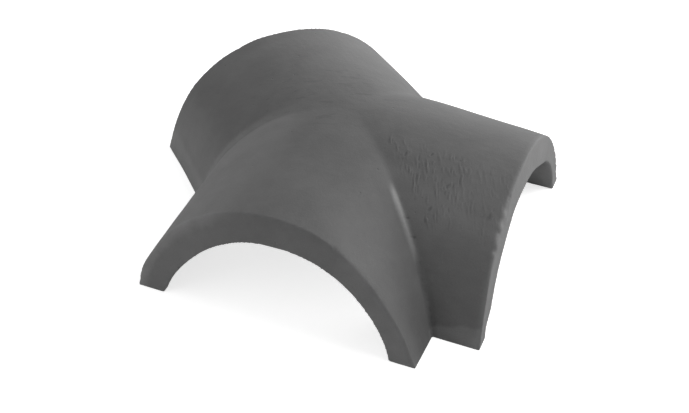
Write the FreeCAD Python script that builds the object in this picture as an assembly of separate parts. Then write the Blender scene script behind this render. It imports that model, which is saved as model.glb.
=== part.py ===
"""Three-way ridge tile of cast concrete: one ridge arm and two hip arms that meet under a groined crown.

The tile stands on its feet on the floor plane, z = 0. The ridge arm points along +Y and the hip arms
point to the two front corners. Every arm is a round barrel, open below and at its end. Lengths are in
millimetres and angles in degrees.
"""
import math
import os

import FreeCAD, Part
from FreeCAD import Vector

os.makedirs("parts", exist_ok=True)

# Outside of the barrels
barrel_radius = 125.0
apex_height = 115.0
crown_fall_angle = 5.2
level_crown = 22.0
crown_bend_radius = 420.0

# Arms, measured on the floor from the meeting point of the three centre lines
ridge_arm_length = 159.0
hip_arm_length = 163.0
hip_bearing_angle = 135.0
hip_end_lean = 4.3
ridge_end_lean = 0.0

# Wall of the casting
flank_wall = 19.0
crown_thickening = 8.0

# Straight run-out at the foot of each flank, and how far it stands past the round at the arm's end
foot_strip_height = 16.0
foot_splay = 1.0

# How deep the top of a foot strip sits inside the round, and what a cutting body keeps past its cut
strip_bite = 0.3
overrun = 60.0

UP = Vector(0, 0, 1)


def crown_spine(crown_height, radius, length):
    """Path of a barrel's centre in the plane of the arm: level, a long bend, then a straight fall."""
    fall = math.radians(crown_fall_angle)
    level = crown_height - radius
    bend_run = crown_bend_radius * math.sin(fall)
    bend_drop = crown_bend_radius * (1 - math.cos(fall))
    start = Vector(0, 0, level)
    bend_start = Vector(0, level_crown, level)
    half = fall / 2
    bend_middle = bend_start + Vector(
        0, crown_bend_radius * math.sin(half), -crown_bend_radius * (1 - math.cos(half))
    )
    bend_end = bend_start + Vector(0, bend_run, -bend_drop)
    rest = length + overrun - bend_end.y
    end = bend_end + Vector(0, rest, -rest * math.tan(fall))
    edges = [
        Part.LineSegment(start, bend_start).toShape(),
        Part.Arc(bend_start, bend_middle, bend_end).toShape(),
        Part.LineSegment(bend_end, end).toShape(),
    ]
    return Part.Wire(edges)


def barrel(crown_height, radius, length):
    """Round bar along the spine, with its crown at the height given over the meeting point."""
    spine = crown_spine(crown_height, radius, length)
    ring = Part.Circle(Vector(0, 0, crown_height - radius), Vector(0, 1, 0), radius).toShape()
    return spine.makePipeShell([Part.Wire([ring])], True, True)


def barrel_half_width(length, height):
    """Half width of the outside at the arm's end, at a height over the floor."""
    fall = math.radians(crown_fall_angle)
    straight = length - level_crown - crown_bend_radius * math.sin(fall)
    drop = crown_bend_radius * (1 - math.cos(fall)) + straight * math.tan(fall)
    centre = apex_height - barrel_radius - drop
    return math.sqrt(barrel_radius ** 2 - (height - centre) ** 2)


def foot_strip(side, length):
    """Straight splayed foot of one flank, a bar of slanted section that dies into the round above."""
    foot = barrel_half_width(length, 0) + foot_splay
    top = barrel_half_width(length, foot_strip_height) - strip_bite
    root = flank_wall / 2
    corners = [
        Vector(foot - root, 0, 0),
        Vector(foot, 0, 0),
        Vector(top, 0, foot_strip_height),
        Vector(top - root, 0, foot_strip_height),
    ]
    corners = [Vector(side * c.x, c.y, c.z) for c in corners]
    face = Part.Face(Part.makePolygon(corners + corners[:1]))
    return face.extrude(Vector(0, length + overrun, 0))


def end_cutter(length, lean):
    """Block past the end of an arm; a positive lean draws the crown back towards the meeting point."""
    reach = 3 * barrel_radius
    block = Part.makeBox(2 * reach, 2 * overrun, 2 * reach, Vector(-reach, 0, -reach))
    block.rotate(Vector(0, 0, 0), Vector(1, 0, 0), lean)
    block.translate(Vector(0, length, 0))
    return block


def arm(length, lean):
    """Outer form and hollow of one arm, both along +Y."""
    outer = barrel(apex_height, barrel_radius, length)
    outer = outer.fuse([foot_strip(1, length), foot_strip(-1, length)])
    outer = outer.cut(end_cutter(length, lean))
    hollow_radius = barrel_radius - flank_wall
    hollow_crown = apex_height - flank_wall - crown_thickening
    hollow = barrel(hollow_crown, hollow_radius, length)
    return outer, hollow


def turned(shape, angle):
    """Copy of the shape, turned on the floor about the meeting point."""
    copy = shape.copy()
    copy.rotate(Vector(0, 0, 0), UP, angle)
    return copy


arms = [
    (0.0, ridge_arm_length, ridge_end_lean),
    (hip_bearing_angle, hip_arm_length, hip_end_lean),
    (-hip_bearing_angle, hip_arm_length, hip_end_lean),
]
outers = []
hollows = []
for angle, length, lean in arms:
    outer, hollow = arm(length, lean)
    outers.append(turned(outer, angle))
    hollows.append(turned(hollow, angle))

outside = outers[0].fuse(outers[1:])
inside = hollows[0].fuse(hollows[1:])
reach = 4 * (ridge_arm_length + hip_arm_length)
below_floor = Part.makeBox(reach, reach, reach, Vector(-reach / 2, -reach / 2, -reach))
tile = outside.cut([inside, below_floor]).removeSplitter()

# The origin is on the floor under the middle of the tile
box = tile.optimalBoundingBox(False, False)
tile.translate(Vector(0, -box.Center.y, 0))

piece = tile.Solids[0]
print("solids", len(tile.Solids), "valid", piece.isValid(), "faces", len(piece.Faces))
print("volume, litres", round(piece.Volume / 1e6, 3), "meeting point at y", round(-box.Center.y, 3))
piece.exportStep("parts/three_way_ridge_tile.step")
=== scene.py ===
# %% [markdown]
# # A three-way ridge tile in cast concrete
#
# Where the ridge of a roof meets two hips, one cast piece covers the joint. It is three round barrels that
# grow into each other: a ridge arm towards +Y and two hip arms towards the front corners. This lesson
# dresses that cast: first the unevenness of one hand-made piece, then its worn arrises and drips, and last
# the finish of slurry-coated concrete.
#
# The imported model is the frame. It is loaded first, its box is kept, and everything else is worked out from
# it, in metres.

# %% Load the frame
import math

import bpy
import numpy as np
from mathutils import Matrix, Vector


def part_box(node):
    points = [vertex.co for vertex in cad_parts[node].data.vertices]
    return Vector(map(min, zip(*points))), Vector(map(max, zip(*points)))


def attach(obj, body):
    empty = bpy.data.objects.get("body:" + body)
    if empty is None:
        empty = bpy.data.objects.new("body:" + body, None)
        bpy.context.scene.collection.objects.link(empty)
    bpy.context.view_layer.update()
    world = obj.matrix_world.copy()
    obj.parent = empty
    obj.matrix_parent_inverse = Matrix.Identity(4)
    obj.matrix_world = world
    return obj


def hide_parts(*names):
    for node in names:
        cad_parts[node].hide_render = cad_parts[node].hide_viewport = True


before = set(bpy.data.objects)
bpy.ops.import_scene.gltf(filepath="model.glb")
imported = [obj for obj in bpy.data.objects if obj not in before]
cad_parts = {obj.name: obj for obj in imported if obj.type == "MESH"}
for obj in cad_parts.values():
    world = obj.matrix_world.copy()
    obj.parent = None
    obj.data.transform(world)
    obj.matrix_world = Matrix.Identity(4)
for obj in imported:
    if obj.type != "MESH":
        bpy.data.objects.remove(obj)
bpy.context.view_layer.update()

tile_low, tile_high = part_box("three_way_ridge_tile")
print("tile, millimetres:", [round(1000 * x) for x in tile_high - tile_low])

# %% [markdown]
# ## The camera
#
# A picture taken from half a metre away bends a box more than one taken with a long lens from across the
# room. So the camera is described by what a photographer would measure: where it stands around the tile,
# how high, how far away, and how long its lens is. The aim is a point near the meeting point of the three
# centre lines. The tile sits a few millimetres right of the picture's middle, and the camera was held about
# one degree off level.

# %% Camera
picture_width = 689
focal_length_pixels = 1159.5
view_azimuth = math.radians(-23.2)
view_elevation = math.radians(38.05)
view_roll = math.radians(1.14)
view_distance = 1.0605
tile_right_of_middle = 0.0038
tile_below_middle = 0.0043

meeting_point = Vector((0, 0.022, 0))


def direction(azimuth, elevation):
    """Unit vector from the tile at an azimuth, which is 0 in front at -Y, and at an elevation."""
    return Vector((
        math.sin(azimuth) * math.cos(elevation),
        -math.cos(azimuth) * math.cos(elevation),
        math.sin(elevation),
    ))


bpy.ops.object.select_all(action="DESELECT")
bpy.ops.object.camera_add()
camera = bpy.context.object
camera.name = "view_camera"
camera.data.sensor_width = 36
camera.data.lens = focal_length_pixels * camera.data.sensor_width / picture_width
back = direction(view_azimuth, view_elevation)
level = back.to_track_quat("Z", "Y").to_matrix()
turned = level @ Matrix.Rotation(view_roll, 3, "Z")
aim = meeting_point - turned.col[0] * tile_right_of_middle + turned.col[1] * tile_below_middle
camera.matrix_world = Matrix.Translation(aim + back * view_distance) @ turned.to_4x4()
bpy.context.scene.camera = camera
print("lens, millimetres:", round(camera.data.lens, 1))

# %% [markdown]
# ## The floor
#
# The tile stands on a plain white sheet. A white sheet under a lamp still comes out grey where the light is
# weak, so the camera, and only the camera, also sees a little glow in it. Light that the sheet throws back
# on the tile comes from its colour alone, and the tile's shadow stays.

# %% Floor
floor_size = 12.0
floor_white = 0.8
floor_glow = 0.70


def show_camera(tree, for_the_scene, for_the_camera, output_kind):
    """Ends a node tree so that one shader lights the scene and the camera sees another."""
    rays = tree.nodes.new("ShaderNodeLightPath")
    pick = tree.nodes.new("ShaderNodeMixShader")
    output = tree.nodes.new(output_kind)
    tree.links.new(rays.outputs["Is Camera Ray"], pick.inputs["Fac"])
    tree.links.new(for_the_scene.outputs[0], pick.inputs[1])
    tree.links.new(for_the_camera.outputs[0], pick.inputs[2])
    tree.links.new(pick.outputs[0], output.inputs["Surface"])


bpy.ops.mesh.primitive_plane_add(size=floor_size, location=(0, 0, 0))
floor = bpy.context.object
floor.name = "floor"
floor_material = bpy.data.materials.new("white_sheet")
floor_material.use_nodes = True
tree = floor_material.node_tree
tree.nodes.clear()
sheet = tree.nodes.new("ShaderNodeBsdfDiffuse")
sheet.inputs["Color"].default_value = (floor_white, floor_white, floor_white, 1)
glow = tree.nodes.new("ShaderNodeEmission")
glow.inputs["Strength"].default_value = floor_glow
both = tree.nodes.new("ShaderNodeAddShader")
tree.links.new(sheet.outputs[0], both.inputs[0])
tree.links.new(glow.outputs[0], both.inputs[1])
show_camera(tree, sheet, both, "ShaderNodeOutputMaterial")
floor.data.materials.append(floor_material)
print("floor:", floor_size, "metres across")

# %% [markdown]
# ## The light
#
# Most of the picture's light comes from the right. Two large soft lamps stand there, a low one for the end
# face and the flanks on that side, and a high one for the crowns. A third stands behind the tile and lights
# the far side of the ridge arm. The fourth is wider, on the left, and keeps the flanks that face it from
# going black.

# %% Lamps
lamp_distance = 2.2


def lamp(name, azimuth, elevation, size, power):
    """Square area lamp aimed at the middle of the tile; angles in degrees, size in metres, power in watts."""
    towards = direction(math.radians(azimuth), math.radians(elevation))
    bpy.ops.object.light_add(type="AREA", location=towards * lamp_distance)
    made = bpy.context.object
    made.name = name
    made.rotation_euler = towards.to_track_quat("Z", "Y").to_euler()
    made.data.size = size
    made.data.energy = power


lamp("right_lamp", azimuth=90, elevation=12, size=1.2, power=36)
lamp("upper_lamp", azimuth=62, elevation=54, size=1.2, power=20)
lamp("back_lamp", azimuth=150, elevation=12, size=1.2, power=15)
lamp("left_lamp", azimuth=262, elevation=12, size=2.0, power=18)

# %% [markdown]
# ## The surroundings
#
# An even glow comes from all round, as from the walls of a white room, so no shadow has a hard edge. The
# camera sees these walls as plain white, whatever their glow. It uses the same trick as the floor.

# %% Surroundings
ambient = 0.33
white = (1, 1, 1, 1)

world = bpy.data.worlds.new("studio")
world.use_nodes = True
bpy.context.scene.world = world
tree = world.node_tree
tree.nodes.clear()
room = tree.nodes.new("ShaderNodeBackground")
room.inputs["Color"].default_value = white
room.inputs["Strength"].default_value = ambient
backdrop = tree.nodes.new("ShaderNodeBackground")
backdrop.inputs["Color"].default_value = white
backdrop.inputs["Strength"].default_value = 1.0
show_camera(tree, room, backdrop, "ShaderNodeOutputWorld")
bpy.context.scene.view_settings.view_transform = "Standard"
print("glow of the surroundings:", ambient)

# %% [markdown]
# ## The cast
#
# The frame's mesh has long thin triangles and knife-sharp arrises, and a cast has neither. A copy of it is
# merged into one closed skin and then remeshed in small even squares, which gives the relief something to
# work on. The squares also round every arris by about their own size, as the mould does. They are finer
# than the finished piece needs: it is thinned again once its relief is on.

# %% Copy and remesh
square = 0.0010
softening_steps = 2

cast_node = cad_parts["three_way_ridge_tile"]
bpy.ops.object.select_all(action="DESELECT")
tile = bpy.data.objects.new("ridge_tile", cast_node.data.copy())
bpy.context.scene.collection.objects.link(tile)
bpy.context.view_layer.objects.active = tile
tile.select_set(True)
bpy.ops.object.mode_set(mode="EDIT")
bpy.ops.mesh.select_all(action="SELECT")
bpy.ops.mesh.remove_doubles(threshold=0.00001)
bpy.ops.object.mode_set(mode="OBJECT")


def finish_with(piece, kind, **settings):
    """Adds one modifier to the piece, sets it and applies it."""
    bpy.ops.object.select_all(action="DESELECT")
    bpy.context.view_layer.objects.active = piece
    piece.select_set(True)
    added = piece.modifiers.new(kind.lower(), kind)
    for name, value in settings.items():
        setattr(added, name, value)
    bpy.ops.object.modifier_apply(modifier=added.name)


finish_with(tile, "REMESH", mode="VOXEL", voxel_size=square, use_smooth_shade=True)
finish_with(tile, "SMOOTH", factor=0.5, iterations=softening_steps)
print("squares in the skin:", len(tile.data.polygons))

# %% [markdown]
# ## Finding a place on the tile
#
# Hand work is local: a lip here, a worn arris there. To sculpt it in code, each point of the skin has to
# know where it lies. For one arm that is its run along the arm, its distance to the side of the centre
# line, and how far it stands from the axis of the barrel. A ramp turns any of these into a soft-edged mask
# from 0 to 1, the way a brush fades at its rim. The two numbers of a ramp are the places where it is 0 and
# where it is 1, in metres, or in degrees for an angle.

# %% Places and masks
barrel_radius = 0.125
hollow_below_barrel = 0.008
axis_height = -0.010
fall_starts = 0.041
fall_slope = 0.091
hip_length = 0.163
hip_lean = 0.075
arm_bearing = {"ridge": 90, "left_hip": -135, "right_hip": -45}


def rows_of(items, name):
    """Reads three numbers from each point or face of a mesh, one row each."""
    values = np.empty(len(items) * 3)
    items.foreach_get(name, values)
    return values.reshape(-1, 3)


def skin_of(piece):
    """Places of all the points of a mesh."""
    return rows_of(piece.data.vertices, "co")


def set_skin(piece, places):
    """Puts the points of a mesh in new places."""
    piece.data.vertices.foreach_set("co", places.ravel())
    piece.data.update()


def ramp(values, zero_at, one_at):
    """Smooth mask: 0 up to one value, 1 from the other on."""
    share = np.clip((values - zero_at) / (one_at - zero_at), 0, 1)
    return share * share * (3 - 2 * share)


def arm_frame(arm):
    """Level directions of an arm: along it, and to its side."""
    bearing = math.radians(arm_bearing[arm])
    cosine, sine = math.cos(bearing), math.sin(bearing)
    return np.array([cosine, sine]), np.array([sine, -cosine])


def barrel_axis(run):
    """Height of the axis of a barrel, which is level at first and then falls towards the end."""
    return axis_height - fall_slope * np.maximum(run - fall_starts, 0)


def on_arm(places, arm):
    """Run along the arm, distance to its side, and distance from the axes of its barrel and of its hollow."""
    along, across = arm_frame(arm)
    from_middle = places[:, :2] - np.array(meeting_point[:2])
    run = from_middle @ along
    side = from_middle @ across
    axis = barrel_axis(run)
    outer = np.hypot(side, places[:, 2] - axis)
    inner = np.hypot(side, places[:, 2] - axis + hollow_below_barrel)
    return run, side, outer, inner


def outer_skin(outer):
    """Mask of the outer skin, which fades out inside the wall."""
    return ramp(outer, 0.108, 0.120)


def to_end_face(places, run):
    """Distance from the end face of a hip, which leans back by a few degrees."""
    return abs(run - (hip_length - hip_lean * places[:, 2]))


places = skin_of(tile)
run, side, outer, inner = on_arm(places, "left_hip")
print("points on the left hip's barrel:", int(((run > 0.05) & (abs(outer - barrel_radius) < 0.001)).sum()))

# %% [markdown]
# ## The flank beside the valley
#
# A hand-made mould isn't a perfect cylinder. On the left hip, the flank that faces the other hip is flatter
# than the round, by up to seven millimetres. Nothing is cut: the outer skin there is pressed in. The
# pressing fades out towards the crown, it is eased low down beside the valley and is nearly gone at the
# foot. It ends at the valley, where the other hip's flank begins.

# %% Flatter flank
flank_flatness = 0.0074


def flatten_flank(places):
    """Presses in the valley side of the left hip's barrel."""
    run, side, outer, inner = on_arm(places, "left_hip")
    beside, height = places[:, 0], places[:, 2]
    mask = outer_skin(outer) * ramp(side, -0.020, -0.055) * ramp(beside, 0.0006, -0.0006)
    mask *= ramp(height, 0.114, 0.072) * (0.44 + 0.56 * ramp(height, 0.015, 0.055))
    mask *= ramp(run, 0.0, 0.02) * (0.25 + 0.75 * ramp(height, 0.000, 0.022))
    mask *= 1 - 0.5 * ramp(height, 0.080, 0.060) * ramp(beside, -0.026, -0.001)
    places[:, :2] += flank_flatness * mask[:, None] * arm_frame("left_hip")[1]


places = skin_of(tile)
flatten_flank(places)
print("flank pressed in by, millimetres:", 1000 * flank_flatness)

# %% [markdown]
# ## The right hip's front leg
#
# This leg is flatter than the round as well, by a millimetre and a half between its foot and its haunch,
# and only near the end of the arm. The foot itself stays where it is.

# %% Flatter leg
leg_flatness = 0.0016


def flatten_leg(places):
    """Presses in the right hip's front leg above its foot, near the end."""
    run, side, outer, inner = on_arm(places, "right_hip")
    height = places[:, 2]
    mask = outer_skin(outer) * ramp(side, 0.060, 0.090) * ramp(run, 0.120, 0.152)
    mask *= ramp(height, 0.070, 0.040) * ramp(height, 0.002, 0.012)
    places[:, :2] -= leg_flatness * mask[:, None] * arm_frame("right_hip")[1]


flatten_leg(places)
print("leg pressed in by, millimetres:", 1000 * leg_flatness)

# %% [markdown]
# ## The end of the ridge arm
#
# The far end of the ridge arm is seen as an outline, which shows how true it is. Its left haunch stands out
# from the round by two millimetres and the right one by a third of that, and between them the crown has
# sunk by a millimetre. A haunch faces as much up as out, so the swelling on the left goes both ways. Low
# down on the left, the foot is tucked in by nearly two millimetres between the valley and the end.

# %% Warped ridge end
haunch_swell = 0.0019
right_haunch_share = 0.3
crown_sink = 0.0012
foot_tuck = 0.0018
slanting = 0.7
axis_at_end = -0.021


def warp_ridge_end(places):
    """Swells the haunches at the end of the ridge arm, sinks the crown and tucks in the left foot."""
    run, side, outer, inner = on_arm(places, "ridge")
    height = places[:, 2]
    angle = np.degrees(np.arctan2(side, height - axis_at_end))
    skin = outer_skin(outer)
    swell = haunch_swell * skin * ramp(angle, -74, -44) * ramp(angle, -16, -38) * ramp(run, 0.055, 0.150)
    swell_right = right_haunch_share * haunch_swell * skin * ramp(angle, 12, 36) * ramp(run, 0.030, 0.100)
    sink = crown_sink * skin * ramp(angle, -16, -4) * ramp(angle, 22, 4) * ramp(run, 0.110, 0.155)
    tuck = foot_tuck * skin * ramp(side, -0.095, -0.115) * ramp(height, 0.055, 0.012)
    tuck *= ramp(run, 0.160, 0.105) * ramp(run, 0.0, 0.03)
    places[:, :2] += (tuck + swell_right - slanting * swell)[:, None] * arm_frame("ridge")[1]
    places[:, 2] += slanting * swell - sink


warp_ridge_end(places)
print("left haunch swollen by, millimetres:", 1000 * haunch_swell)

# %% [markdown]
# ## Ends and feet
#
# Rounding the arrises also took a little off the bottom edges of the feet, which a cast that set on a flat
# board keeps square. They are pushed out again by a third of a millimetre. Above its feet, the right hip
# ends a little further out than it was drawn, and the left hip's left leg flares near its end. Where the
# skin would stick out of the frame's box, it is cut back to the box.

# %% Ends and feet
end_push = 0.0008
foot_push = 0.0003
leg_flare = 0.0017


def push_out_end(places):
    """Lengthens the right hip a little above its feet, where the frame's box leaves room."""
    run = on_arm(places, "right_hip")[0]
    mask = ramp(to_end_face(places, run), 0.030, 0.0) * ramp(places[:, 2], 0.002, 0.024) * (run > 0.1)
    places[:, :2] += end_push * mask[:, None] * arm_frame("right_hip")[0]


def square_up_feet(places, arm, run, side, outer):
    """Gives the bottom edges of a hip's feet back what the rounding took off them."""
    along, across = arm_frame(arm)
    low_down = ramp(places[:, 2], 0.012, 0.001)
    flank = ramp(outer, 0.116, 0.122) * ramp(run, -0.01, 0.01) * low_down
    places[:, :2] += foot_push * (flank * np.sign(side))[:, None] * across
    face = ramp(to_end_face(places, run), 0.010, 0.002) * low_down * (run > 0.1)
    places[:, :2] += foot_push * face[:, None] * along


def flare_leg(places, run, side, outer):
    """Flares the left leg of the left hip near its end."""
    height = places[:, 2]
    flare = ramp(side, 0.070, 0.100) * ramp(height, 0.001, 0.012) * ramp(height, 0.042, 0.018)
    flare *= outer_skin(outer) * ramp(run, 0.110, 0.152)
    places[:, :2] += leg_flare * flare[:, None] * arm_frame("left_hip")[1]


push_out_end(places)
for arm in ("left_hip", "right_hip"):
    run, side, outer, inner = on_arm(places, arm)
    square_up_feet(places, arm, run, side, outer)
    if arm == "left_hip":
        flare_leg(places, run, side, outer)
set_skin(tile, np.clip(places, tile_low, tile_high))
print("bottom edges pushed out by, millimetres:", 1000 * foot_push)

# %% [markdown]
# ## The lip along the valley
#
# Where the two hips meet, the caster drew the slurry down the joint, and it left a lip on the left hip's
# side of the valley: a swelling that rises slowly out of the flank and rolls over just before the other
# flank. It is highest in the upper half of the valley and dies away above and below. The same mask is used
# again later, for a painted highlight on the lip.

# %% Valley lip
lip_height = 0.0016


def lip_mask(places, inner_edge, outer_edge):
    """Band on the left hip's side of the valley, from one distance to the other, in its upper half."""
    run, side, outer, inner = on_arm(places, "left_hip")
    beside, height = places[:, 0], places[:, 2]
    mask = ramp(beside, inner_edge, 0.3 * inner_edge) * ramp(beside, outer_edge, 0.7 * outer_edge - 0.0030)
    upper_half = ramp(height, 0.040, 0.066) * ramp(height, 0.112, 0.099)
    return mask * ramp(outer, 0.110, 0.118) * ramp(side, -0.030, -0.050) * upper_half


places = skin_of(tile)
places[:, :2] -= lip_height * lip_mask(places, -0.020, 0.0008)[:, None] * arm_frame("left_hip")[1]
set_skin(tile, places)
print("lip, millimetres:", 1000 * lip_height)

# %% [markdown]
# ## The hollow at the ends
#
# The core that shaped the hollow didn't sit quite true in the mould, and that shows at the ends of the two
# hips. The wall came out a little thicker all round. The left hip's left leg is thicker still at the very
# end and a little thin just behind it, and its right haunch is thin. Both legs of the right hip run out
# thin towards the floor. The inner skin is moved towards the axis of the hollow or away from it, each move
# fades out up the arm, and the bottom edges keep their height.

# %% Askew hollow
thicker_all_round = 0.0010
thicker_left_leg = 0.0031
left_leg_tapered = 0.0018
thinner_right_haunch = 0.0016
back_leg_thinned = 0.0070
front_foot_thinned = 0.0085
hollow_axis_at_end = -0.028


def from_hollow_axis(places, arm):
    """Unit vectors that point away from the axis of an arm's hollow."""
    run, side, outer, inner = on_arm(places, arm)
    across = arm_frame(arm)[1]
    axis = barrel_axis(run) - hollow_below_barrel
    away = np.column_stack([side * across[0], side * across[1], places[:, 2] - axis])
    return away / inner[:, None]


def bump_at(angle, middle, width):
    """Mask that is 1 at one angle and dies away on both sides of it."""
    return np.exp(-((angle - middle) / width) ** 2)


def left_hip_move(move, run, side, height):
    """How far the left hip's inner skin moves away from the axis: its legs and its right haunch."""
    angle = np.degrees(np.arctan2(side, height - hollow_axis_at_end))
    low_leg = ramp(angle, 40, 54)
    at_end = low_leg * ramp(run, 0.140, 0.158) + (1 - low_leg) * ramp(run, 0.124, 0.154)
    move = move * (1 - low_leg * (1 - at_end))
    move = move - thicker_left_leg * bump_at(angle, 50, 23) * at_end
    move = move + left_leg_tapered * low_leg * ramp(run, 0.158, 0.146) * ramp(run, 0.070, 0.110)
    return move + thinner_right_haunch * bump_at(angle, -24, 20) * ramp(run, 0.060, 0.150)


def right_hip_move(move, run, side, height):
    """How far the right hip's inner skin moves away from the axis: its back leg and its front foot."""
    back = ramp(side, -0.04, -0.07) * ramp(height, 0.078, 0.035) * ramp(run, 0.080, 0.150)
    front = ramp(side, 0.04, 0.07) * ramp(height, 0.022, 0.002) * ramp(run, 0.110, 0.152)
    return move + back_leg_thinned * back + front_foot_thinned * front


def set_core_askew(places, arm, own_move):
    """Moves the inner skin near the end of one hip."""
    run, side, outer, inner = on_arm(places, arm)
    height = places[:, 2]
    move = own_move(-thicker_all_round * ramp(run, 0.060, 0.150), run, side, height)
    moved = from_hollow_axis(places, arm) * (ramp(inner, 0.121, 0.108) * move)[:, None]
    moved[:, 2] *= ramp(height, 0.000, 0.010)
    places += moved


places = skin_of(tile)
set_core_askew(places, "left_hip", left_hip_move)
set_core_askew(places, "right_hip", right_hip_move)
set_skin(tile, places)
print("left hip's left leg thicker by, millimetres:", 1000 * thicker_left_leg)

# %% [markdown]
# ## Soft groins
#
# The three barrels flow into each other at the crown and only become a sharp valley further down. This is
# made as with a smoothing brush: a vertex group says how strongly each point is smoothed. The masks of this
# cell and of the next two are laid out on the skin as it is now, before any of the smoothing.

# %% Soft groins
groin_bearing = {"front": -90, "left": 157.5, "right": 22.5}
groin_smoothing = 60
weight_steps = 20


def mask_group(piece, name, weights):
    """Keeps one weight a point as a vertex group, rounded to even steps."""
    group = piece.vertex_groups.new(name=name)
    steps = np.round(weight_steps * weights).astype(int)
    for step in range(1, weight_steps + 1):
        group.add(np.flatnonzero(steps == step).tolist(), step / weight_steps, "REPLACE")
    return group.name


def groin_mask(places):
    """Both sides of the three joints between the barrels, near the crown."""
    from_middle = places[:, :2] - np.array(meeting_point[:2])
    mask = np.zeros(len(places))
    for bearing in groin_bearing.values():
        out = np.array([math.cos(math.radians(bearing)), math.sin(math.radians(bearing))])
        beside = abs(from_middle @ np.array([-out[1], out[0]]))
        mask = np.maximum(mask, ramp(beside, 0.022, 0.004) * (from_middle @ out > -0.01))
    return mask * ramp(places[:, 2], 0.086, 0.105)


places = skin_of(tile)
soft_groins = groin_mask(places)
finish_with(tile, "SMOOTH", factor=0.5, iterations=groin_smoothing,
            vertex_group=mask_group(tile, "groins", soft_groins))
print("points smoothed at the groins:", int((soft_groins > 0.05).sum()))

# %% [markdown]
# ## Worn arrises
#
# The arris of the left hip's end is worn round on the leg beside the valley, and a little on the other leg.
# On the right hip only the upper part of the front arris is worn. The top edge of the left hip's foot strip
# has gone soft beside the valley. The masks are laid over each other and smoothed at once.

# %% Worn arrises
arris_smoothing = 42

height = places[:, 2]
run, side, outer, inner = on_arm(places, "left_hip")
near_arris = ramp(to_end_face(places, run), 0.012, 0.006) * ramp(outer, 0.111, 0.118)
beside_valley = ramp(side, -0.030, -0.075)
other_leg = 0.2 * ramp(side, 0.040, 0.080)
worn_arris = near_arris * np.maximum(beside_valley, other_leg) * ramp(height, -0.001, 0.006)
strip_top = ramp(outer, 0.114, 0.120) * ramp(side, -0.080, -0.100) * ramp(height, 0.004, 0.010)
strip_top = strip_top * ramp(height, 0.038, 0.028) * (places[:, 0] < -0.001)
run, side, outer, inner = on_arm(places, "right_hip")
near_arris = ramp(to_end_face(places, run), 0.012, 0.006) * ramp(outer, 0.112, 0.119)
upper_front = near_arris * ramp(side, 0.010, 0.050) * ramp(height, 0.045, 0.070)
worn_arris = np.maximum(np.maximum(worn_arris, upper_front), strip_top)
finish_with(tile, "SMOOTH", factor=0.5, iterations=arris_smoothing,
            vertex_group=mask_group(tile, "worn_arris", worn_arris))
print("points smoothed on the arrises:", int((worn_arris > 0.05).sum()))

# %% [markdown]
# ## An even skin in the valley
#
# Pressing in the flank has stretched the skin next to the valley, and the lip has folded it. A few steps of
# smoothing in a narrow band over the valley even it out, and round the bottom of the valley a little.

# %% Valley skin
valley_smoothing = 12

beside = places[:, 0]
outermost = np.maximum(on_arm(places, "left_hip")[2], on_arm(places, "right_hip")[2])
valley = ramp(beside, -0.0085, -0.0060) * ramp(beside, 0.0045, 0.0030) * ramp(outermost, 0.114, 0.118)
valley *= ramp(height, 0.104, 0.098) * ramp(height, -0.001, 0.005) * (places[:, 1] < -0.03)
finish_with(tile, "SMOOTH", factor=0.5, iterations=valley_smoothing,
            vertex_group=mask_group(tile, "valley", valley))
print("points smoothed in the valley:", int((valley > 0.05).sum()))

# %% [markdown]
# ## Hand-cast unevenness
#
# No face of a cast tile is dead flat. A Displace modifier with a soft cloud texture moves the whole skin in
# and out by a fraction of a millimetre. Its middle level is above one half, so the skin moves in more than
# out. Where it would still stick out of the frame's box it is cut back to the box, so the tile keeps its
# overall size, and the feet are left out so that it still stands flat.

# %% Waves in the skin
wave_depth = 0.0008
wave_width = 0.045
wave_middle = 0.60

waves = bpy.data.textures.new("mould_waves", "CLOUDS")
waves.noise_scale = wave_width
waves.noise_depth = 1
places = skin_of(tile)
above_feet = ramp(places[:, 2], 0.002, 0.020)
finish_with(tile, "DISPLACE", texture=waves, texture_coords="LOCAL", direction="NORMAL",
            mid_level=wave_middle, strength=wave_depth,
            vertex_group=mask_group(tile, "above_feet", above_feet))
set_skin(tile, np.clip(skin_of(tile), tile_low, tile_high))
print("waves up to, millimetres:", 1000 * wave_depth)

# %% [markdown]
# ## Chips
#
# Concrete arrises chip when tiles are stacked. Each chip is a small rounded bite: the points around its
# middle are drawn in, towards the inside of the wall. Three larger ones lie side by side where a stacked
# tile would knock, on the arris of the right hip's end, and a row of small ones runs through them. More
# small ones are scattered round all three ends.

# %% Chipped arrises
ridge_length = 0.159
row_of_chips = 7
small_chips_per_end = 7
inwards_share = 0.7
chips = [
    ("right_hip", 26, 0.0042, 0.0012),
    ("right_hip", 31, 0.0048, 0.0016),
    ("right_hip", 36, 0.0042, 0.0014),
]
rng = np.random.default_rng(11)


def random_chip(arm, angles, sizes, depths):
    """One chip drawn at random: its arm, its angle from the crown in degrees, its size and its depth."""
    return arm, rng.uniform(*angles), rng.uniform(*sizes), rng.uniform(*depths)


for _ in range(row_of_chips):
    chips.append(random_chip("right_hip", (20, 48), (0.0014, 0.0034), (0.0003, 0.0008)))
for arm in arm_bearing:
    for _ in range(small_chips_per_end):
        chips.append(random_chip(arm, (-78, 78), (0.0014, 0.0024), (0.0004, 0.0009)))


def chip(places, arm, angle, size, depth):
    """Draws in the skin round one point of an end's outer arris."""
    along, across = arm_frame(arm)
    length, lean = (ridge_length, 0.0) if arm == "ridge" else (hip_length, hip_lean)
    sine, cosine = math.sin(math.radians(angle)), math.cos(math.radians(angle))
    side = barrel_radius * sine
    height = barrel_axis(length) + barrel_radius * cosine
    spot = np.append(np.array(meeting_point[:2]) + (length - lean * height) * along + side * across, height)
    inwards = np.append(-along - inwards_share * sine * across, -inwards_share * cosine)
    inwards /= np.linalg.norm(inwards)
    reach = np.linalg.norm(places - spot, axis=1) / size
    places += depth * np.exp(-reach[:, None] ** 2) * inwards


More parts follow.
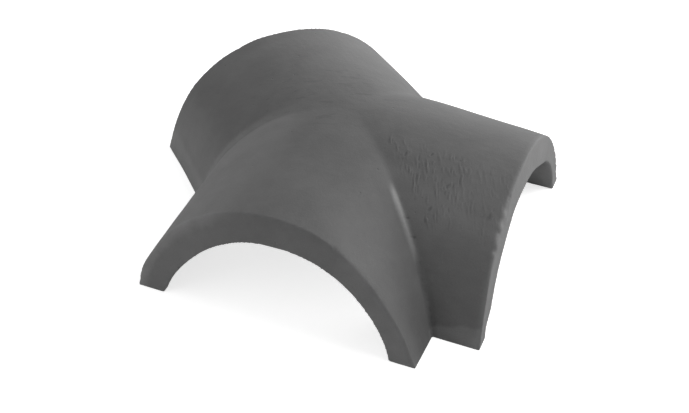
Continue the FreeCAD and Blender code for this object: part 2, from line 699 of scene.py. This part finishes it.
places = skin_of(tile)
for arm, angle, size, depth in chips:
    chip(places, arm, angle, size, depth)
set_skin(tile, places)
print("chips:", len(chips))

# %% [markdown]
# ## Finer squares for the drips
#
# The slurry went on thick on the front flank of the right hip, and it sagged and tore a little as it set.
# The drips it left are only a millimetre or two wide. They need smaller squares than the rest of the skin,
# so the faces of that flank are subdivided first. A drip is easiest to place on the barrel rolled out flat,
# by its run along the arm and its distance down from the crown.

# %% Finer squares


def rolled_out(places, arm):
    """Run along an arm and distance down its flank from the crown, as if the barrel were rolled out flat."""
    run, side, outer, inner = on_arm(places, arm)
    return run, barrel_radius * np.arctan2(side, places[:, 2] - barrel_axis(run))


def dripping(places):
    """Mask of the flank that carries the drips."""
    run, down = rolled_out(places, "right_hip")
    outer = on_arm(places, "right_hip")[2]
    return (
        ramp(outer, 0.121, 0.1235) * ramp(down, 0.018, 0.034) * ramp(down, 0.108, 0.080)
        * ramp(places[:, 0], 0.005, 0.014) * ramp(run, 0.160, 0.150)
    )


def select_faces(piece, chosen):
    """Selects just the chosen faces of a mesh."""
    piece.data.vertices.foreach_set("select", np.zeros(len(piece.data.vertices), bool))
    piece.data.edges.foreach_set("select", np.zeros(len(piece.data.edges), bool))
    piece.data.polygons.foreach_set("select", chosen)


under_drips = dripping(rows_of(tile.data.polygons, "center")) > 0.02
select_faces(tile, under_drips)
bpy.ops.object.mode_set(mode="EDIT")
bpy.ops.mesh.select_mode(type="FACE")
bpy.ops.mesh.subdivide(number_cuts=1)
bpy.ops.object.mode_set(mode="OBJECT")
print("squares subdivided:", int(under_drips.sum()))

# %% [markdown]
# ## Drips and burst bubbles
#
# The drips run down the flank and drift towards its end, because the crown falls that way, and near the end
# they are weaker. Each is a round-backed ridge along a short crooked line. About one in six is a groove
# instead, where the slurry tore. Between them lie a few burst bubbles, shallow cups with a raised rim.

# %% Drips on the right hip
drip_count = 380
bubble_count = 8
drip_height = 0.00042
bubble_depth = 0.00036
drip_drift = 0.30
bubble_drift = 0.3
crook_length = 0.0016
ridges_and_grooves = [1, 1, 1, 1, 1, -0.6]


def relief_of_drips(run, down):
    """Height of drips and bubbles over the rolled-out flank."""
    rng = np.random.default_rng(7)
    height = np.zeros(len(run))
    for _ in range(drip_count):
        at_run, at_down = rng.uniform(0.022, 0.155), rng.uniform(0.022, 0.092)
        length, width = rng.uniform(0.003, 0.014), rng.uniform(0.0006, 0.0010)
        crook, phase, lean = rng.uniform(0.0000, 0.0004), rng.uniform(0, 6.3), rng.normal(drip_drift, 0.10)
        along = down - at_down
        line = at_run + lean * along + crook * np.sin(phase + along / crook_length)
        swell = np.clip(1 - (along / (0.5 * length)) ** 2, 0, 1)
        rise = drip_height * rng.uniform(0.3, 1.0) * rng.choice(ridges_and_grooves)
        rise *= 1.1 - 0.6 * ramp(at_run, 0.095, 0.130)
        height += rise * swell * np.exp(-((run - line) / width) ** 2)
    for _ in range(bubble_count):
        at_run, at_down = rng.uniform(0.022, 0.152), rng.uniform(0.026, 0.095)
        size = rng.uniform(0.0011, 0.0021)
        along = down - at_down
        reach = np.hypot(run - at_run + bubble_drift * along, 0.6 * along) / size
        height -= bubble_depth * (np.exp(-reach ** 2) - 0.5 * np.exp(-((reach - 1.5) / 0.5) ** 2))
    return height


def normals_of(piece):
    """Directions in which the skin faces at all the points of a mesh."""
    return rows_of(piece.data.vertices, "normal")


places = skin_of(tile)
drip_weights = dripping(places)
wet = np.flatnonzero(drip_weights > 0)
run, down = rolled_out(places[wet], "right_hip")
places[wet] += normals_of(tile)[wet] * (drip_weights[wet] * relief_of_drips(run, down))[:, None]
set_skin(tile, places)
print("points under the drips:", len(wet))

# %% [markdown]
# ## Thinning
#
# Most of the skin is nearly flat and doesn't need such small squares. The piece is thinned to a comfortable
# count of triangles. The vertex group keeps the thinning off the drips.

# %% Thin the mesh
triangle_budget = 190000
spared_from = 0.25


def triangles_in(piece):
    """Number of triangles in a mesh, with each larger face counted as the triangles it falls into."""
    return sum(len(face.vertices) - 2 for face in piece.data.polygons)


triangles = triangles_in(tile)
may_thin = 1 - np.minimum(1, drip_weights / spared_from)
finish_with(tile, "DECIMATE", ratio=triangle_budget / triangles,
            vertex_group=mask_group(tile, "may_thin", may_thin))
tile.vertex_groups.clear()
set_skin(tile, np.clip(skin_of(tile), tile_low, tile_high))
tile.data.polygons.foreach_set("use_smooth", np.ones(len(tile.data.polygons), bool))
tile.data.update()
print("triangles:", triangles, "thinned to", triangles_in(tile))

# %% [markdown]
# ## Where the skin is worn, and where shade is painted
#
# Handling rubs the slurry thin on every arris, and the paler arrises also carry a painted highlight. The
# valleys get painted shade, darker where shade falls in them. The finish can follow this if each point knows
# how sharply the skin turns there. Along each edge of the mesh, the two normals spread apart where the skin
# is convex and close up where it is hollow. The mean of this round a point, spread out over its neighbours a
# few times, is kept on the mesh as two attributes that the material can read.

# %% Worn arrises and painted valley shade
wear_spread_steps = 3
wear_and_highlight_turning = (40.0, 260.0)
valley_shade_turning = (-25.0, -160.0)


def turning_of(piece):
    """How sharply the skin turns at each point, per metre: above 0 on an arris, below 0 in a valley."""
    count = len(piece.data.vertices)
    places = skin_of(piece)
    normals = normals_of(piece)
    ends = np.empty(len(piece.data.edges) * 2, int)
    piece.data.edges.foreach_get("vertices", ends)
    a, b = ends.reshape(-1, 2).T
    step = places[b] - places[a]
    turn = ((normals[b] - normals[a]) * step).sum(1) / np.maximum((step * step).sum(1), 1e-12)
    neighbours = np.bincount(a, minlength=count) + np.bincount(b, minlength=count)
    mean = (np.bincount(a, turn, count) + np.bincount(b, turn, count)) / neighbours
    for _ in range(wear_spread_steps):
        around = np.bincount(a, mean[b], count) + np.bincount(b, mean[a], count)
        mean = 0.5 * mean + 0.5 * around / neighbours
    return mean


def keep_attribute(name, values):
    """Stores one number a point on the tile."""
    tile.data.attributes.new(name, "FLOAT", "POINT").data.foreach_set("value", values)


places = skin_of(tile)
normals = normals_of(tile)
height = places[:, 2]
turning = turning_of(tile)
# Paler arrises: partly rubbed wear, partly a painted highlight where the rounded arrises catch the light.
keep_attribute("wear_and_highlight", ramp(turning, *wear_and_highlight_turning))
# Painted shade: the hollow places of the skin, the valleys, are marked to be darkened where shade falls.
keep_attribute("painted_valley_shade", ramp(turning, *valley_shade_turning))
print("points on an arris:", int((turning > wear_and_highlight_turning[1]).sum()))

# %% [markdown]
# ## Painted light in the hollow and along the feet
#
# The inside of the hollow is painted paler, for the light that the floor throws back into it. A ragged band
# along the feet of the ridge arm and of the right hip is painted paler as well, for the light that the white
# floor throws on the low parts, and on the right hip the band gets higher towards the end. Two waves of
# different lengths make its upper edge uneven.

# %% Painted light in the hollow and on the feet
foot_light_bands = {
    "ridge": {"top": 0.021, "tilt": 0.0, "softness": 0.0050, "strength": 0.6},
    "right_hip": {"top": 0.0135, "tilt": 0.25, "softness": 0.0018, "strength": 0.9},
}


def facing_hollow(places, normals, arm):
    """Mask of the skin inside one arm, told by its distance from the hollow's axis and by where it faces."""
    run, side, outer, inner = on_arm(places, arm)
    faces_axis = -(normals * from_hollow_axis(places, arm)).sum(1)
    return ramp(inner, 0.1170, 0.1140) * ramp(faces_axis, 0.5, 0.8) * (run > -0.05)


def light_band_on_feet(places, arm, top, tilt, softness, strength):
    """Mask of the ragged band along the feet of one arm."""
    run, side, outer, inner = on_arm(places, arm)
    long_waves = 0.0012 * np.sin(90 * run + 2)
    short_waves = 0.0007 * np.sin(310 * run)
    edge = top + tilt * np.maximum(run - 0.143, -0.025) + long_waves + short_waves
    on_flank = ramp(run, -0.02, 0.0) * ramp(outer, 0.1185, 0.1215) * ramp(outer, 0.132, 0.129)
    on_flank *= ramp(run, 0.1625, 0.1600)
    return strength * on_flank * ramp(places[:, 2] - edge, softness, -softness)


painted_hollow_light = np.zeros(len(places))
for arm in arm_bearing:
    painted_hollow_light = np.maximum(painted_hollow_light, facing_hollow(places, normals, arm))
painted_foot_light = np.zeros(len(places))
for arm, band in foot_light_bands.items():
    painted_foot_light = np.maximum(painted_foot_light, light_band_on_feet(places, arm, **band))
# Painted light: the hollow and the band along the feet are made paler, for the light the floor throws back.
keep_attribute("painted_hollow_light", painted_hollow_light)
keep_attribute("painted_foot_light", painted_foot_light)
print("points in the hollow:", int((painted_hollow_light > 0.5).sum()), "on the feet:", int((painted_foot_light > 0.5).sum()))

# %% [markdown]
# ## The painted highlight on the lip
#
# The lip catches the light beside the valley, and it is painted paler for it: a painted highlight. This is
# the lip's own mask with closer edges, and it is strongest where the lip stands highest.

# %% Painted highlight on the lip
# Painted highlight: the lip is made paler where it catches the light.
painted_lip_highlight = lip_mask(places, -0.0074, 0.0004)
painted_lip_highlight = painted_lip_highlight * ramp(height, 0.046, 0.086) * ramp(height, 0.0985, 0.0890)
keep_attribute("painted_lip_highlight", painted_lip_highlight)
print("points on the rubbed lip:", int((painted_lip_highlight > 0.5).sum()))

# %% [markdown]
# ## Painted light and shade on the hips
#
# Some places of the hips are painted paler, for light, and some darker, for shade. A number above 0 makes a
# place paler and one below 0 darker. On the left hip the left haunch and leg and the end face have painted
# light, the crown is a little darker, and the foot of the valley has painted shade. On the right hip the end
# face and the haunch have painted light, and the front leg has painted shade.

# %% Painted light and shade on the hips


def on_barrel(outer):
    """Mask of the outer skin of one barrel."""
    return ramp(outer, 0.117, 0.121) * ramp(outer, 0.130, 0.127)


def on_end_face(places, run):
    """Mask of the end face of a hip."""
    return ramp(to_end_face(places, run), 0.003, 0.001)


# Painted light and shade: above 0 the grey is made paler where light falls, below 0 darker where shade falls.
painted_light_and_shade = np.zeros(len(places))
run, side, outer, inner = on_arm(places, "left_hip")
on_left = on_barrel(outer) * ramp(run, -0.01, 0.03)
haunch = 1.8 * ramp(side, 0.018, 0.060)
leg = ramp(side, 0.055, 0.095)
crown = 0.3 * ramp(abs(side), 0.060, 0.030)
# Painted shade at the foot of the valley.
shaded_valley_foot = 0.8 * on_left * ramp(side, -0.080, -0.105) * ramp(height, 0.060, 0.020)
painted_light_and_shade += on_left * (haunch + leg - crown)
painted_light_and_shade += on_end_face(places, run) * (0.5 + 1.2 * ramp(abs(side), 0.030, 0.080))
painted_light_and_shade -= shaded_valley_foot

run, side, outer, inner = on_arm(places, "right_hip")
on_right = on_barrel(outer) * ramp(run, 0.0, 0.02) * ramp(run, 0.160, 0.155)
haunch = 0.45 * ramp(side, 0.035, 0.062)
leg = 1.2 * ramp(side, 0.070, 0.100)
painted_light_and_shade += 1.1 * on_end_face(places, run) * (0.5 + 0.5 * ramp(height, 0.030, 0.060))
painted_light_and_shade += on_right * (haunch - leg)
print("points with thin slurry on the hips:", int((painted_light_and_shade > 0.5).sum()))

# %% [markdown]
# ## Painted light and shade on the ridge arm
#
# On the left side of the ridge arm the flank has painted shade, most of all near the other arms, and painted
# light low down towards the foot. There is painted light again along the groin that parts this arm from the
# left hip, and the middle of the crown is a little darker.

# %% Painted light and shade on the ridge arm
crown_middle = (0.010, -0.015)

run, side, outer, inner = on_arm(places, "ridge")
on_ridge = on_barrel(outer) * ramp(run, 0.0, 0.02)
# Painted shade on the flank near the other arms, and painted light low towards the foot.
shaded_flank = 0.6 * on_ridge * ramp(side, -0.010, -0.070) * ramp(run, 0.130, 0.085)
painted_light_and_shade -= shaded_flank * ramp(side, -0.116, -0.094)
painted_light_and_shade += 1.5 * on_ridge * ramp(side, -0.090, -0.117) * ramp(run, 0.02, 0.06)

bearing = math.radians(groin_bearing["left"])
to_groin = places[:, 0] * math.sin(bearing) - (places[:, 1] - meeting_point[1]) * math.cos(bearing)
# Painted light along the groin, on the left hip's side.
lit_beside_groin = 1.1 * on_barrel(on_arm(places, "left_hip")[2]) * ramp(abs(to_groin), 0.018, 0.004)
painted_light_and_shade += lit_beside_groin * (to_groin < 0) * ramp(places[:, 0], -0.040, -0.060)

to_middle = np.hypot(places[:, 0] - crown_middle[0], places[:, 1] - crown_middle[1])
painted_light_and_shade -= 0.35 * ramp(outer, 0.112, 0.116) * ramp(to_middle, 0.095, 0.040)
keep_attribute("painted_light_and_shade", painted_light_and_shade)
print("points with thin slurry in all:", int((painted_light_and_shade > 0.5).sum()))

# %% [markdown]
# ## Where the brush marks show
#
# The brush left a few dark strokes on the crown of the ridge arm, close to the meeting point. The attribute
# only says where they show. The strokes themselves come from the material.

# %% Place of the brush marks
marks_middle = (-0.012, 0.060)

to_marks = np.hypot(places[:, 0] - marks_middle[0], places[:, 1] - marks_middle[1])
marked = ramp(height, 0.085, 0.100) * ramp(to_marks, 0.080, 0.045)
keep_attribute("brush_marks", marked)
print("points under brush marks:", int((marked > 0.5).sum()))

# %% [markdown]
# ## The concrete
#
# The tile is coated with a dark slurry while it is wet, so it is matt and nearly one grey. A few small
# helpers come first: noise on Object coordinates, so that nothing is stretched round the barrels, and the
# arithmetic that turns noise and attributes into factors of that grey.

# %% Concrete
slurry_grey = 0.131
slurry_roughness = 0.72

concrete = bpy.data.materials.new("slurry_coated_concrete")
concrete.use_nodes = True
nodes, links = concrete.node_tree.nodes, concrete.node_tree.links
shader = nodes["Principled BSDF"]
shader.inputs["Specular IOR Level"].default_value = 0.3
where = nodes.new("ShaderNodeTexCoord")


def noise(scale, detail=3.0, roughness=0.55, stretch=(1, 1, 1), turn=0.0, distortion=0.0):
    """Noise from 0 to 1 around 0.5; scale is in waves per metre, turn is about the Z axis."""
    mapping = nodes.new("ShaderNodeMapping")
    mapping.vector_type = "TEXTURE"
    mapping.inputs["Scale"].default_value = stretch
    mapping.inputs["Rotation"].default_value = (0, 0, turn)
    links.new(where.outputs["Object"], mapping.inputs["Vector"])
    made = nodes.new("ShaderNodeTexNoise")
    made.inputs["Scale"].default_value = scale
    made.inputs["Detail"].default_value = detail
    made.inputs["Roughness"].default_value = roughness
    made.inputs["Distortion"].default_value = distortion
    links.new(mapping.outputs[0], made.inputs["Vector"])
    return made.outputs["Fac"]


def calculate(kind, first, second, third=None):
    """One Math node; each input is a socket or a number."""
    made = nodes.new("ShaderNodeMath")
    made.operation = kind
    for number, value in enumerate((first, second, third)):
        if isinstance(value, bpy.types.NodeSocket):
            links.new(value, made.inputs[number])
        elif value is not None:
            made.inputs[number].default_value = value
    return made.outputs[0]


def around_one(source, share):
    """Turns noise into a factor that swings around 1; share is the swing at the noise's usual extremes."""
    return calculate("MULTIPLY_ADD", calculate("SUBTRACT", source, 0.5), 4 * share, 1.0)


def measured(name):
    """Reads one of the mesh's own attributes."""
    made = nodes.new("ShaderNodeAttribute")
    made.attribute_name = name
    return made.outputs["Fac"]


def between(source, zero_at, one_at):
    """Smooth step of a value, 0 up to one number and 1 from the other on."""
    made = nodes.new("ShaderNodeMapRange")
    made.interpolation_type = "SMOOTHSTEP"
    made.inputs["From Min"].default_value = zero_at
    made.inputs["From Max"].default_value = one_at
    links.new(source, made.inputs["Value"])
    return made.outputs["Result"]


def changed_by(tone, mask, gain):
    """Makes a tone lighter where a mask is above 0, or darker if the gain is below 0."""
    return calculate("MULTIPLY", tone, calculate("MULTIPLY_ADD", mask, gain, 1.0))


print("grey of the slurry:", slurry_grey)

# %% [markdown]
# ## Clouds, patches and grain
#
# Looked at closely, the slurry has clouds a few centimetres wide, patches of about one centimetre and a
# sandy grain of a millimetre. Each of them only shifts the grey by a few parts in a hundred: concrete is
# quiet.

# %% Quiet noise
cloud_share = 0.075
patch_share = 0.055
grain_share = 0.060

clouds = noise(22, detail=2.5, distortion=0.4)
patches = noise(85, detail=3.0)
grain = noise(950, detail=2.0, roughness=0.7)
tone = calculate("MULTIPLY", around_one(clouds, cloud_share), around_one(patches, patch_share))
tone = calculate("MULTIPLY", tone, around_one(grain, grain_share))
print("swings of the grey:", cloud_share, patch_share, grain_share)

# %% [markdown]
# ## Painted light and shade, and the places with their own grey
#
# The attributes shift the grey much further than the noise does. Most of them are painted light and shade:
# the hollow, the feet, the lip and places on the arms are made paler for light, and the valleys and other
# places darker for shade. Each has one gain: above 0 it makes its places paler, below 0 darker. The brush
# marks are the crests of a noise that is stretched along the strokes. The arrises are rubbed pale, partly as
# wear and partly as a painted highlight, and only where the clouds are, because nobody rubs a whole arris
# evenly.

# %% Grey of each place
gains = {
    "painted_light_and_shade": 0.14,
    "painted_valley_shade": -0.20,
    "painted_hollow_light": 0.60,
    "painted_foot_light": 0.36,
    "painted_lip_highlight": 1.90,
}
wear_and_highlight_gain = 0.05
brush_mark_loss = 0.11

for attribute, gain in gains.items():
    tone = changed_by(tone, measured(attribute), gain)
strokes = between(noise(190, detail=2.0, stretch=(4, 1, 1), turn=-0.40), 0.615, 0.68)
strokes = calculate("MULTIPLY", strokes, measured("brush_marks"))
tone = changed_by(tone, strokes, -brush_mark_loss)
# Paler arrises, partly rubbed wear and partly a painted highlight, only where the clouds are.
rubbed_and_highlit = calculate("MULTIPLY", measured("wear_and_highlight"), between(clouds, 0.40, 0.60))
tone = changed_by(tone, rubbed_and_highlit, wear_and_highlight_gain)
grey = calculate("MULTIPLY", tone, slurry_grey)
colour = nodes.new("ShaderNodeCombineColor")
for channel in ("Red", "Green", "Blue"):
    links.new(grey, colour.inputs[channel])
links.new(colour.outputs[0], shader.inputs["Base Color"])
print("places with their own grey:", list(gains))

# %% [markdown]
# ## Roughness, grain and pin-holes
#
# Thick slurry dries a little smoother than thin slurry, so the patches also move the roughness. The fine
# surface is bump only, because it is finer than any mesh: a sandy grain, soft brush marks, and pin-holes
# from a cell pattern of which only the middles of a few cells are kept.

# %% Fine surface
roughness_swing = 0.16
grain_bump = 0.00009
brush_bump = 0.00030
pin_hole_bump = 0.00035
cells_per_metre = 120
pin_hole_rim = 0.14
pin_hole_floor = 0.05

patches_around_zero = calculate("SUBTRACT", patches, 0.5)
patchy = calculate("MULTIPLY_ADD", patches_around_zero, roughness_swing, slurry_roughness)
links.new(patchy, shader.inputs["Roughness"])

cells = nodes.new("ShaderNodeTexVoronoi")
cells.inputs["Scale"].default_value = cells_per_metre
links.new(where.outputs["Object"], cells.inputs["Vector"])
chosen = nodes.new("ShaderNodeSeparateColor")
links.new(cells.outputs["Color"], chosen.inputs[0])
few = between(chosen.outputs["Red"], 0.80, 0.84)
cup = between(cells.outputs["Distance"], pin_hole_rim, pin_hole_floor)
holes = calculate("MULTIPLY", cup, few)

brushed = noise(150, detail=4.0, roughness=0.6)
relief = calculate("MULTIPLY", brushed, brush_bump)
relief = calculate("MULTIPLY_ADD", grain, grain_bump, relief)
relief = calculate("MULTIPLY_ADD", holes, -pin_hole_bump, relief)
bump = nodes.new("ShaderNodeBump")
bump.inputs["Strength"].default_value = 1.0
bump.inputs["Distance"].default_value = 1.0
links.new(relief, bump.inputs["Height"])
links.new(bump.outputs["Normal"], shader.inputs["Normal"])

tile.data.materials.clear()
tile.data.materials.append(concrete)
print("nodes in the concrete:", len(nodes))

# %% [markdown]
# ## Handing the piece over
#
# The dressed tile takes the place of the plain cast: it rides on the tile's one body and stands for its
# node.

# %% Ride and replace
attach(tile, "root")
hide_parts("three_way_ridge_tile")
print("rides on root and stands for its node:", tile.name)
